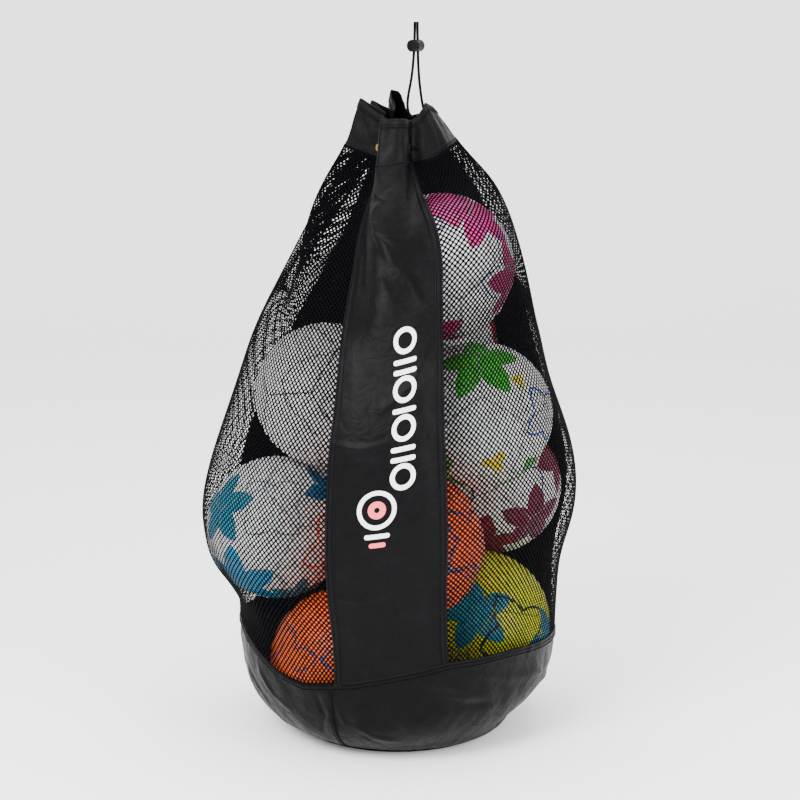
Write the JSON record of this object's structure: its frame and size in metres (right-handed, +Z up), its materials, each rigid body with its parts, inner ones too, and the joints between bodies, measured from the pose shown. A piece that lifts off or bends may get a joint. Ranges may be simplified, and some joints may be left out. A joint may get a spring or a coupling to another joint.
{
  "type": "ball bag",
  "caption": "Tall drawstring net bag full of footballs, with a round cloth base, cloth front and back panels, pleated collar and sprung cord lock.",
  "frame": {"origin": "centre of the base's flat underside, on the ground", "axes": "+Z up the bag towards the drawcord's ends; -Y is the side of the printed front panel; +X is to the right when the front is seen"},
  "size_m": [0.5911, 0.5985, 1.09],
  "materials": {
    "coated_cloth": "black polyester cloth, polyurethane coated, slightly satin",
    "coated_cloth_hem": "black coated polyester, folded and double stitched",
    "binding_tape": "black woven polyester binding tape",
    "shiny_cloth": "black PVC-coated polyester, glossy, creased",
    "shiny_cloth_hem": "black PVC-coated polyester, folded and double stitched",
    "collar_cloth": "black PVC-coated polyester, satin",
    "collar_cloth_hem": "black PVC-coated polyester, double stitched",
    "net": "black knitted polyester net with diamond holes",
    "brass": "rolled brass, lightly dulled",
    "cord": "black braided polypropylene cord",
    "lock_barrel": "moulded dark grey nylon",
    "lock_button": "moulded black nylon",
    "spring_steel": "drawn spring wire",
    "ball_pink": "stitched and bonded polyurethane football shell",
    "ball_white": "stitched and bonded polyurethane football shell",
    "ball_green": "stitched and bonded polyurethane football shell",
    "ball_maroon": "stitched and bonded polyurethane football shell",
    "ball_teal": "stitched and bonded polyurethane football shell",
    "ball_orange_navy": "stitched and bonded polyurethane football shell",
    "ball_yellow": "stitched and bonded polyurethane football shell",
    "ball_orange_blue": "stitched and bonded polyurethane football shell",
    "ball_grey_upper": "stitched and bonded polyurethane football shell",
    "ball_red": "stitched and bonded polyurethane football shell",
    "ball_plain": "stitched and bonded polyurethane football shell"
  },
  "bodies": {
    "bag": {"back_hem_left": "coated_cloth_hem", "back_hem_right": "coated_cloth_hem", "back_panel": "coated_cloth", "ball_green": "ball_green", "ball_grey_upper": "ball_grey_upper", "ball_maroon": "ball_maroon", "ball_orange_blue": "ball_orange_blue", "ball_orange_navy": "ball_orange_navy", "ball_pink": "ball_pink", "ball_plain": "ball_plain", "ball_red": "ball_red", "ball_teal": "ball_teal", "ball_white": "ball_white", "ball_yellow": "ball_yellow", "band_hem": "coated_cloth_hem", "band_seam": "coated_cloth_hem", "base_band": "coated_cloth", "base_binding": "binding_tape", "base_panel": "coated_cloth", "collar": "collar_cloth", "collar_hem": "collar_cloth_hem", "drawcord_left": "cord", "drawcord_right": "cord", "drawcord_ring": "cord", "eyelet_washers": "brass", "eyelets": "brass", "front_hem_left": "shiny_cloth_hem", "front_hem_right": "shiny_cloth_hem", "front_panel": "shiny_cloth", "mesh_left": "net", "mesh_right": "net", "neck_hem": "collar_cloth_hem"},
    "cord_lock": {"cord_lock_barrel": "lock_barrel", "cord_lock_spring": "spring_steel"},
    "lock_plunger": {"cord_lock_plunger": "lock_button"}
  },
  "joints": [
    {"name": "lock_slide", "type": "slide", "parent": "bag", "child": "cord_lock", "axis": [0, 0, 1], "range_m": [-0.055, 0.02], "deforming": ["drawcord_left", "drawcord_right"]},
    {"name": "plunger_press", "type": "slide", "parent": "cord_lock", "child": "lock_plunger", "axis": [0.5736, 0.8192, 0], "range_m": [0, 0.003], "stiffness_N_per_m": 400, "springref_m": -0.004, "deforming": ["cord_lock_spring"]}
  ]
}
